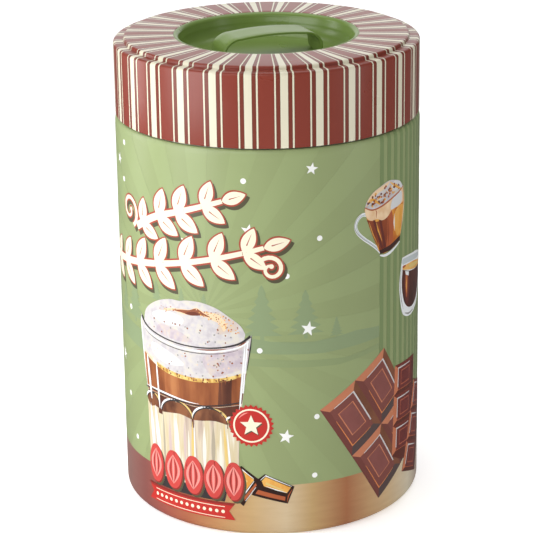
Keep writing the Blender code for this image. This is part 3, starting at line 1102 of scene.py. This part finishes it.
def draw_tall_glass(art):
    """A faceted tall glass: milk below, coffee above, deep foam and a dome with a cocoa smear."""
    rim_dip = smooth([(-57, 80.5), (-54, 77.3), (-47, 75.2), (-35, 74), (-22, 74.7), (-12, 77.2), (-6.8, 81)])
    foam_edge = smooth([(-56, 67.2), (-51, 65), (-42, 62.6), (-31, 61.8), (-20, 63), (-12, 65.4), (-9, 67.2)])
    crema_edge = smooth([(-56, 66.2), (-51, 63.6), (-42, 60.9), (-31, 60.2), (-20, 61.4),
        (-12, 64), (-9, 66)])
    milk_line = smooth([(-53.9, 51.5), (-45, 51.2), (-30, 50.4), (-20, 51.6), (-11.3, 53.4)])
    left_side = [(-48.6, 17), (-50.3, 30), (-53.8, 50), (-56, 67)]
    right_side = [(-9, 67), (-11.2, 50), (-14.8, 30), (-17.4, 17)]
    art.fill(left_side + rim_dip + right_side, "milk")

    dome = smooth([(-55, 79.6), (-54, 83), (-51, 86), (-46, 88.9), (-40, 90.8), (-35.6, 91), (-32, 91.8),
        (-26, 91.9), (-20, 90.4), (-15, 87.4), (-11, 84.4), (-9.2, 81.2)])
    art.fill(between_edges(rim_dip[4:-4], dome), "foam", 1)
    art.fill(between_edges(foam_edge, [(-57, 80.5)] + rim_dip[1:]), "foam", 1.5)
    shade_side = smooth([(-22, 63.5), (-14, 66.2), (-9.2, 68.6), (-8, 76), (-13, 76.4), (-20, 73.6),
        (-26, 70)], True)
    art.fill(shade_side, "foam_shade", 2)
    art.blob([(-20, 80.5), (-13.5, 82), (-11.5, 84.4), (-15, 87), (-20, 89.2), (-19, 85)], "foam_warm", 2)
    art.blob([(-47, 76.5), (-38, 75.2), (-30, 76), (-36, 79), (-45, 80)], "foam_shade", 2)
    art.blob([(-50, 71.5), (-40, 69.5), (-34, 66), (-43, 64.6), (-50, 67.2)], "foam_light", 2)
    art.blob([(-50, 83), (-42, 86), (-34, 84.5), (-36, 81), (-45, 80.6)], "foam_light", 2)

    art.blob([(-43.5, 85.6), (-38.5, 86.6), (-33, 86.1), (-27, 86.9), (-23.5, 86.2), (-19, 84.6),
        (-17.2, 81.8), (-16.2, 84.6), (-19.6, 88.2), (-25, 88.6), (-28, 89.6), (-31, 88.4), (-36, 87.9),
        (-41, 87)], "peach", 3)
    art.blob([(-38.6, 86.9), (-34.4, 86.7), (-30.5, 86.2), (-26, 86.9), (-22.4, 86.7), (-25.2, 88),
        (-28, 89.3), (-31.2, 88.2), (-35, 87.7)], "cocoa", 4)
    art.blob([(-33, 86.7), (-29.8, 86.35), (-26.4, 87), (-29, 87.9)], "cocoa_dark", 5)
    trail = smooth([(-27, 86.6), (-20, 84.6), (-14.6, 81.6), (-11, 82), (-14, 86.4), (-20, 89),
        (-26, 88.6)], True)
    specks(art, trail, 60, 15, (0.18, 0.36), ["cocoa", "rust", "honey"], 5)
    specks(art, smooth([(-45, 85.4), (-38, 86), (-38, 88), (-44, 87.4)], True), 22, 16, (0.15, 0.3),
        ["rust", "honey"], 5)

    art.fill(between_edges(milk_line, crema_edge), "coffee", 3)
    art.fill(between_edges(crema_edge[8:-5], foam_edge[8:-5]), "crema", 4)
    art.fill([(-56, 66.2), (-53.6, 65.2), (-52, 51.6), (-53.9, 51.6)], "coffee_light", 4)
    art.fill([(-19.5, 62), (-14.5, 63.4), (-14.9, 52.6), (-20.2, 51.6)], "coffee_dark", 4)
    art.fill([(-10.9, 65.4), (-9.3, 66.2), (-10.8, 54), (-12, 53.2)], "coffee_dark", 4)
    art.fill([(-44, 61), (-37, 60.3), (-36, 51.4), (-43.5, 51.6)], "coffee_light", 4)
    draw_facets(art)

    shoulder = smooth([(-55, 52.3), (-45, 51.9), (-30, 50.9), (-20, 52.2), (-11.6, 54.2)])
    art.stroke(shoulder, 0.5, "line", 9)
    art.swell(moved(shoulder[:14], 0.2, 0.65), 0.75, "light", 9.5)
    for s, low, high, lean, thick in ((-51.6, 48, 65.4, 2.2, 1.15), (-46.9, 45.4, 64.2, 1.4, 0.85),
            (-11.9, 50, 77, -2.6, 0.75)):
        art.stroke(beam(s, low, high, lean), lambda t: thick * min(1, 0.35 + 3 * t, 3.35 - 3 * t),
            "light", 10)
    art.stroke([(-8.4, 78), (-9.6, 66), (-10.4, 58)], 0.55, "light", 10)
    art.swell(rim_dip[1:-1], (0.5, 0.95), "line", 11)
    art.stroke(moved(rim_dip[5:-2], 0, -1.4), 0.6, "light", 11)
    art.swell(moved(rim_dip[5:-6], 0, -2.3), 0.3, "line", 11.5)
    for a, b in ((21, 28), (30, 34)):
        art.swell(moved(rim_dip[a:b], 0, -0.75), 0.55, "cocoa", 12)
    art.swell([(-57, 80.5), (-57.3, 78), (-56.2, 67), (-54.2, 52)], 0.8, "light", 12)
    art.swell([(-6.8, 81), (-7.4, 76), (-8.8, 67)], 0.5, "line", 12)

    foam_zone = between_edges(foam_edge[4:-4], moved(rim_dip[4:-4], 0, -3))
    specks(art, foam_zone, 34, 11, (0.22, 0.42), ["cocoa", "grey", "peach"], 13)
    specks(art, shade_side, 16, 12, (0.25, 0.48), ["cocoa", "grey"], 13)
    specks(art, between_edges(moved(rim_dip[6:-6], 0, 1), [(-14, 82.5), (-30, 84), (-48, 82)][::-1]), 26, 13,
        (0.25, 0.45), ["cocoa", "grey"], 13)
    specks(art, between_edges(crema_edge[9:-6], foam_edge[9:-6]), 30, 14, (0.25, 0.5),
        ["cocoa", "cocoa_dark"], 13)


def arch(left, right, top):
    half = (right - left) / 2
    return ellipse((left + right) / 2, top - half * 0.8, half, half * 0.8, 0, 0, 180, 16)


def facet(left, right, top, low):
    """A tall panel with an arched head."""
    return [(right - 0.8, low)] + arch(left, right, top) + [(left + 1.2, low)]


def draw_facets(art):
    """The arched cuts round the lower half of the glass, with the coffee fading into the milk."""
    foot = 17
    art.fill([(-53.8, 51.4), (-45, 51), (-30, 50.2), (-20, 51.4), (-11.4, 53.2), (-12.4, 44), (-30, 41.5),
        (-52.6, 44)], "coffee_dark", 4)
    for left, right, top in ((-54.4, -47.6, 50.6), (-45.6, -31.2, 50.8), (-30.4, -16.6, 50.8),
            (-16.4, -12, 48)):
        art.fill(facet(left, right, top, foot), "facet", 5)
        half = (right - left) / 2
        head = arch(left, right, top)
        pour = head + smooth([(left, top - half * 0.8 - 0.6), (left + half * 0.6, top - 5.6),
            (left + half * 1.3, top - 5), (right, top - 4.6 - half * 0.2)])
        art.fill(pour, "coffee_fade", 6)
        art.swell(head[::-1], (0.95, 0.35), "line", 7)
        art.swell(moved(head[::-1][:9], -0.55, 0.2), 0.8, "light", 7.4)
        art.swell(moved(head[:8], 0.3, 0.1), 0.8, "gold", 7.4)
    for s, low, high, lean, thick, tone in ((-47, 20, 46, 2.6, 2.2, "light"),
            (-44.6, 19, 45, 0.6, 1, "facet_grey"), (-31, 18, 44, 0, 1.3, "gold"),
            (-30.2, 22, 43, 0, 0.6, "light"), (-16.6, 22, 45, 1.4, 1.2, "gold"),
            (-15.2, 20, 42, 1.6, 0.8, "light"), (-38.5, 24, 44, 0, 2.4, "facet_light"),
            (-34.6, 26, 43, 0, 1.2, "facet_pink"), (-41.5, 22, 42, 0.4, 1.5, "facet_pink"),
            (-26, 24, 43, 0, 1.6, "facet_light"), (-22.4, 26, 44, -0.2, 1.6, "facet_grey"),
            (-19.6, 22, 43, -0.4, 1.2, "facet_light"), (-50.6, 24, 46, 1.8, 1.8, "light"),
            (-32.8, 20, 40, 0, 0.8, "facet_light")):
        art.swell(beam(s, low, high, lean), thick, tone, 6.6)
    for s, z, wide in ((-41, 19.6, 5), (-24.5, 19.6, 4.6)):
        art.fill(ellipse(s, z, wide, 1.6), "grey", 6.8)
        art.fill(ellipse(s - 0.4, z + 0.4, wide * 0.8, 0.9), "light", 7)
    art.fill([(-48.757, 18.2), (-17.16, 18.2), (-18.2, 13.6), (-47, 13.6)], "line", 7.2)


def draw_mug(art):
    """A small glass mug of cocoa with a speckled cream dome and a loop handle."""
    loop = smooth([(38.6, 122.3), (36.6, 122.9), (34.4, 121.8), (33.2, 119.2), (34.2, 116.4), (37, 113.6),
        (40.6, 110.9), (43.4, 108.6), (45.4, 106.6)])
    art.stroke(loop, 1.35, "light")
    art.stroke(moved(loop, 0.35, -0.15), 0.5, "glass_blue", 1)
    art.swell(moved(loop[6:-3], -0.42, 0.1), 0.3, "grey", 1)
    body = smooth([(37.2, 124.6), (38.2, 121.2), (39.8, 117), (42.2, 111.8), (44.6, 107)])
    body += smooth([(47, 105.6), (52, 106.2), (57.4, 108.2)])
    body += smooth([(57.9, 110.6), (59.9, 117), (60.4, 123), (59.6, 128.6)])
    art.fill(body + [(50, 128)], "amber", 2)
    art.fill(smooth([(38.3, 120.6), (43, 118.9), (47, 119.1), (49.6, 120)])
        + [(50.4, 113), (49.6, 107.2), (45, 107.2), (42.2, 111.8)], "brown", 3)
    art.blob([(49.4, 119.8), (52, 121), (53, 114), (52, 107.6), (48.6, 107), (49.4, 113)], "rust", 3)
    art.blob([(56.6, 110.4), (59.4, 117), (60, 121.4), (56, 121.2), (53.8, 119), (54.4, 112.4)], "honey", 3)
    art.fill([(41.2, 120), (42.4, 119.6), (46.6, 108.2), (45.6, 108)], "deep", 4)
    art.fill([(44.4, 119.6), (45.6, 119.4), (48.6, 108), (47.2, 108)], "deep", 4)
    art.swell([(43, 118.6), (44, 115.6), (46.2, 110.6)], 0.7, "honey", 5)
    art.swell([(53.6, 119.4), (53.4, 116), (53.8, 112.8)], 0.7, "light", 5)
    art.swell([(39.4, 119.4), (41.4, 114.4), (44.4, 108.8)], 0.4, "honey", 5)
    head = smooth([(37.3, 125), (38, 121.8), (40.2, 119.9), (43.4, 119.8), (46.4, 118.7), (49.4, 119.4),
        (52.4, 121.6), (56, 121.6), (59.8, 122.6)])
    rim = smooth([(37.4, 125.4), (41, 123.8), (46, 124.2), (52, 125.8), (57, 127.2), (59.8, 128.6)])
    art.fill(between_edges(head, rim), "tan", 6)
    art.blob([(51.4, 121.6), (56, 121.9), (58.6, 123), (58.4, 127), (54, 126.2), (51.8, 124.6)],
        "foam_light", 7)
    art.swell([(42.6, 123.8), (43.2, 122.4), (43, 120.2)], 0.45, "rust", 7)
    dome = smooth([(37.3, 125), (38.4, 127.6), (41.2, 130.2), (45, 131.7), (49.6, 132.9), (53.6, 132.4),
        (57.4, 131), (59.6, 128.4)])
    art.fill(between_edges(rim, dome), "foam", 7)
    art.blob([(52.8, 129), (57, 127.9), (59.2, 128.4), (57.4, 130.8), (54.2, 132), (52.4, 131)],
        "foam_light", 8)
    art.blob([(38.4, 127.4), (41, 130), (45.2, 131.6), (50.4, 132.6), (48, 130.6), (43.6, 129.4),
        (40.4, 127.4)], "peach", 8)
    art.swell(smooth([(50.6, 132.4), (53.2, 130.6), (56.4, 128.8), (59, 127.4)]), 1, "honey", 9)
    art.swell(smooth([(38, 125.6), (40.4, 127.8), (43.6, 126.2), (45.2, 124.8)]), 1.1, "honey", 9)
    art.swell(rim, (0.65, 0.35), "rust", 10)
    zone = between_edges(moved(rim[2:-4], 0, 1.2), moved(dome[3:-12], 0, -1.4))
    specks(art, zone, 78, 21, (0.3, 0.6), ["deep", "rust", "brown", "honey"], 11)
    art.fill([(44.6, 107.4), (45.2, 105.9), (51, 105.9), (57.5, 108.2), (57.7, 110), (51, 108)],
        "coffee_black", 8)
    art.swell(smooth([(45, 105.5), (48, 104.7), (52, 105.4), (57.5, 107.6)]), (1.1, 0.4), "light", 9)
    art.swell([(60.2, 128.6), (60.6, 122), (59.6, 116), (58, 110.4)], 0.6, "peach", 9)


def draw_espresso(art):
    """A round-bottomed glass of espresso with a pale double wall."""
    outer = smooth([(59.6, 100.4), (58.2, 95), (57.4, 89.6), (58.2, 84), (60, 78.4), (63.6, 76), (68.6, 75.2),
        (74, 76.4), (79, 79.6), (82.4, 85), (83.4, 91), (82.2, 96.4)])
    rim = smooth([(59.6, 100.4), (64, 100.2), (70, 99.4), (76, 98.4), (82.2, 96.4)])
    art.fill(between_edges(outer, rim), "light")
    art.blob([(60, 99.6), (64, 99.4), (71, 98.4), (80, 96.4), (80.6, 94.8), (72, 96), (64, 97.2), (60, 97.6)],
        "glass_blue", 1)
    liquid = smooth([(59.9, 95.6), (66, 93.4), (73, 92), (81, 91.4)])
    liquid += smooth([(81.2, 88), (78.8, 82.4), (74.6, 79.2), (69.6, 78.2), (64.8, 79.4), (61.4, 82.6),
        (59.6, 88), (59.4, 92)])
    art.fill(liquid, "espresso", 2)
    art.blob([(62, 92.6), (66, 92.2), (66.6, 86), (65, 81), (62.6, 83.4), (61.6, 88)], "deep", 3)
    art.blob([(62.6, 93.4), (64.6, 92.8), (64.6, 87), (63.6, 83.4), (62.6, 87)], "rust", 4)
    art.swell([(63.6, 92), (63.4, 88.4), (63.6, 85.4)], 0.9, "honey", 5)
    art.fill([(62.2, 94.4), (65.8, 93.2), (65.6, 91.6), (62.8, 92.8)], "light", 6)
    crema = smooth([(59.9, 96.8), (65, 96.6), (72, 95.6), (81.4, 93.2)])
    crema += smooth([(81, 91.4), (73, 92.2), (66, 93.8), (59.9, 95.6)])
    art.fill(crema, "honey", 5)
    art.blob([(66, 95.8), (72, 95), (79.4, 92.9), (73, 93.2), (67, 94.4)], "gold", 6)
    art.blob([(60.2, 97), (62.6, 96.8), (62.4, 96.2), (60.4, 96.1)], "rust", 6)
    art.swell([(58.9, 97), (58.1, 90), (59, 84), (60.8, 79.6)], 0.5, "grey", 6)
    art.swell(smooth([(62, 77.8), (66, 76.4), (71, 76.4)]), 0.7, "grey", 6)


# ---------------------------------------------------------------- artwork: chocolate

def draw_tile(art, corner, across, down, kind, up, lit_left):
    """One raised square of a bar: four bevels, a top face, lit edges and a sunk frame."""

    def at(p, q):
        return corner[0] + across[0] * p + down[0] * q, corner[1] + across[1] * p + down[1] * q

    left, right, top, low = 0.15, 0.83, 0.13, 0.86
    p0, p1, p2, p3 = face = [at(left, top), at(right, top), at(right, low), at(left, low)]
    art.fill([at(0, 0), at(1, 0), p1, p0], kind + "_top", up)
    art.fill([at(0, 0), p0, p3, at(0, 1)], kind + "_left", up)
    art.fill([at(1, 0), at(1, 1), p2, p1], kind + "_right", up)
    art.fill([at(0, 1), p3, p2, at(1, 1)], kind + "_low", up)
    art.fill(face, kind + "_face", up + 1)
    if lit_left:
        lit = [at(right - 0.1, top), p0, at(left, low - 0.1)]
        glow = [p3, p2]
    else:
        lit = [at(left + 0.12, top), p1, at(right, low - 0.1)]
        glow = [at(left, top + 0.2), p3, at(right - 0.1, low)]
    art.stroke(lit, lambda t: 0.3 + 0.45 * math.sin(math.pi * min(t, 0.8)), "choc_shine", up + 2)
    art.swell(glow, (0.55, 0.2), kind + "_edge", up + 2)
    sunk = [at(p, q) for p, q in ((0.28, 0.255), (0.7, 0.255), (0.7, 0.71), (0.28, 0.71))]
    art.fill(sunk, kind + "_face_deep", up + 2)
    art.stroke(sunk, 0.5, kind + "_frame", up + 3, closed=True)


def draw_bar(art, corner, across, down, columns, rows, kind, up, lit_left):
    for i in range(columns):
        for k in range(rows):
            start = [c + a * i + d * k for c, a, d in zip(corner, across, down)]
            draw_tile(art, start, across, down, kind, up, lit_left)


def draw_chocolate(art):
    """Three broken bars, each in front of the one to its left."""
    draw_bar(art, (18.2, 50), (14.7, 9.2), (13.2, -21.1), 2, 2, "near", 0, False)
    draw_bar(art, (54.6, 58.8), (18, -1.1), (-0.6, -12.2), 1, 3, "far", 5, True)
    art.fill([(52.8, 22.2), (70.8, 21.1), (68, 17.4), (60.4, 18.4)], "far_low", 5)
    draw_bar(art, (73, 47), (15.6, -5.6), (-4.2, -11.3), 1, 3, "far", 10, True)


def draw_small_sweets(art):
    """Two glossy filled chocolates by the foot of the glass."""
    art.fill([(-5.8, 23.4), (-2.8, 25.8), (8.2, 20.4), (5.6, 13.6), (-7.8, 17.2)], "crust")
    art.fill([(-4, 23), (-2.5, 24.7), (6.9, 20.1), (5.3, 17.9), (-3.2, 20.9)], "honey", 1)
    art.fill([(-2.4, 22.6), (4.4, 19.2), (3.8, 18.9), (-2.6, 21.6)], "gold", 2)
    art.fill([(-5.4, 19.4), (4.8, 16.4), (4.6, 14.8), (-6.4, 17.8)], "rust", 1)
    art.swell([(-4.4, 23.4), (-2.5, 25.2), (7.2, 20.5)], (0.5, 0.2), "light", 3)
    art.swell([(-2.6, 20.9), (1.6, 19.3), (5.2, 18.1)], 0.45, "light", 3)
    art.swell([(7.4, 19.4), (5.9, 16.8), (5.4, 14.2)], 0.5, "rust", 3)
    art.fill([(-18.4, 19.4), (-11.6, 28.8), (-5, 23.6), (-11, 12.4)], "crust", 4)
    art.fill([(-15.8, 21.4), (-11.5, 27.3), (-6.8, 23.4), (-11, 17.6)], "honey", 5)
    art.fill([(-14, 21.6), (-11.6, 24.9), (-9.2, 22.8), (-11.6, 19.8)], "gold", 6)
    art.fill([(-10.6, 16.4), (-6.2, 22.2), (-5.9, 21.2), (-10.6, 14.6)], "rust", 5)
    art.swell([(-15.6, 22.2), (-11.6, 27.6), (-6.9, 23.8)], (0.55, 0.2), "light", 6)
    art.swell([(-6.9, 22.8), (-10.8, 17), (-13.4, 19)], (0.6, 0.2), "light", 6)
    art.swell([(-6.2, 20.4), (-10.2, 14.6)], (0.5, 0.2), "light", 7)


# ---------------------------------------------------------------- stage

def build_stage():
    """White paper that shows bright to the camera and dark in the tin's reflections."""
    bpy.ops.mesh.primitive_plane_add(size=8)
    floor = bpy.context.active_object
    floor.name = "floor"
    paper = Coat("floor_paper", (246, 246, 245), 0.9)
    paper.colour(paper.noise(20), (0.3, (245, 245, 244)), (0.7, (248, 248, 247)))
    paper.shader.inputs["Specular IOR Level"].default_value = 0.1
    paper.shader.inputs["Emission Color"].default_value = WHITE
    paths = paper.node("LightPath").outputs
    glow = paper.node("MapRange", {"To Min": 0.25, "To Max": 0.45}, {"Value": paths["Is Camera Ray"]})
    paper.drive("Emission Strength", glow.outputs["Result"])
    dark = paper.node("Emission", {"Strength": 0.14})
    sides = {"Fac": paths["Is Glossy Ray"], 1: paper.shader.outputs["BSDF"], 2: dark.outputs["Emission"]}
    either = paper.node("MixShader", links=sides)
    paper.tree.links.new(either.outputs["Shader"], paper.tree.nodes["Material Output"].inputs["Surface"])
    floor.data.materials.append(paper.material)


def add_softbox(name, place, target_height, size, power):
    lamp = bpy.data.lights.new(name, "AREA")
    lamp.shape = "RECTANGLE"
    lamp.size, lamp.size_y = size
    lamp.energy = power
    holder = bpy.data.objects.new(name, lamp)
    holder.location = place
    aim = Vector((0, 0, target_height)) - Vector(place)
    holder.rotation_euler = aim.to_track_quat("-Z", "Y").to_euler()
    bpy.context.scene.collection.objects.link(holder)


def build_lights():
    """A white world, dimmed for all but the camera, and six softboxes."""
    world = bpy.data.worlds.new("studio")
    bpy.context.scene.world = world
    world.use_nodes = True
    tree = world.node_tree
    background = tree.nodes["Background"]
    background.inputs["Color"].default_value = WHITE
    paths = add_node(tree, "LightPath").outputs
    dim = add_node(tree, "MapRange", {"To Min": 0.38, "To Max": 0.06}, {"Value": paths["Is Glossy Ray"]})
    links = {"Value": paths["Is Camera Ray"], "To Min": dim.outputs["Result"]}
    seen = add_node(tree, "MapRange", {"To Max": 1}, links)
    tree.links.new(seen.outputs["Result"], background.inputs["Strength"])
    add_softbox("top_softbox", (0, 0.25, 0.85), 0.09, (0.8, 0.6), 2.6)
    add_softbox("back_softbox", (0, 1.4, 0.55), 0.09, (1.8, 0.7), 4.2)
    add_softbox("front_strip", (-0.24, -0.65, 0.49), 0.09, (0.5, 0.1), 0.8)
    add_softbox("key_softbox", (-0.37, -0.25, 0.2), 0.07, (0.3, 0.4), 1.35)
    add_softbox("left_strip", (-0.5, 0.13, 0.2), 0.09, (0.12, 0.5), 0.8)
    add_softbox("right_strip", (0.52, -0.26, 0.2), 0.09, (0.12, 0.5), 0.3)


def build_camera():
    """A long lens above the front, pitched down, with the small roll of the original view."""
    distance = 14.1255 * WALL_R * MM
    height = 6.4109 * WALL_R * MM
    pitch = 0.3331
    roll = -0.0137
    lens = bpy.data.cameras.new("camera")
    lens.lens = 149.9
    lens.sensor_width = 36
    lens.shift_x = -0.00563
    lens.clip_start = 0.01
    lens.clip_end = 50
    holder = bpy.data.objects.new("camera", lens)
    turn = Euler((math.pi / 2 - pitch, 0, 0)).to_matrix().to_4x4() @ Matrix.Rotation(roll, 4, "Z")
    holder.matrix_world = Matrix.Translation((0, -distance, height)) @ turn
    bpy.context.scene.collection.objects.link(holder)
    bpy.context.scene.camera = holder
    bpy.context.scene.view_settings.view_transform = "Standard"


# ---------------------------------------------------------------- assembly

def put(piece, body, slot, *nodes):
    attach(piece, body)
    if nodes:
        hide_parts(*nodes)
    return piece


def build_canister():
    ground = painted_ink("sage_ground", SAGE_TINTS, 26, 0.6, 0.37, 2)
    tin = tinplate_material("tinplate_neck", (1, 1, 0.15))
    lacquer = inside_lacquer_material()
    put(build_wall([ground, gold_band_material(), tin, lacquer]), "canister", "wall_print", "body_wall")
    put(build_seam_fold(lacquer), "canister", "wall_print", "body_wall")
    put(build_bottom(tinplate_material("tinplate_bottom", (0.15, 1, 1))), "canister", "tinplate",
        "bottom_end")


def print_wall_artwork():
    """Builds each printed piece once for the front and once, half a turn round, for the back."""
    for name, layer, *draws in (
        ("rays", 0, draw_rays),
        ("woods", 2, draw_hills, draw_trees),
        ("pinstripes", 1, draw_pinstripes),
        ("stars", 6, draw_stars),
        ("sprigs", 8, draw_sprigs),
        ("tall_glass", 16, draw_tall_glass),
        ("sweets", 32, draw_small_sweets),
        ("seal", 34, draw_seal),
        ("pods_and_ribbon", 40, draw_pods, draw_ribbon),
        ("mug", 8, draw_mug),
        ("espresso", 8, draw_espresso),
        ("chocolate", 8, draw_chocolate),
    ):
        art = Artwork(layer)
        for draw in draws:
            draw(art)
        for side, turn in (("front", 0), ("back", 180)):
            put(build_films(art, f"print_{name}_{side}", turn), "canister", "wall_print", "body_wall")


def build_lid():
    lid_inks = {"red": (136, 58, 44), "cream": (226, 220, 196), "brown_red": (124, 56, 43),
        "dark_line": (92, 46, 36)}
    stripes = [ink("lid_" + name, colour, 0.3) for name, colour in lid_inks.items()]
    stripes += [tinplate_material("tinplate_lid_hem", (1, 1, 0.15)), inside_lacquer_material()]
    put(build_lid_sheet(stripes), "lid", "lid_print", "lid_shell")
    green = green_lacquer_material()
    put(build_well(green), "lid", "green_lacquer", "lid_well")
    put(build_strap(green), "lid", "green_lacquer", "handle_strap")
    put(build_seal(silicone_material()), "lid", "silicone", "lid_seal_ring")


def main():
    build_camera()
    build_lights()
    build_stage()
    build_canister()
    print_wall_artwork()
    build_lid()
    bpy.context.view_layer.update()


main()
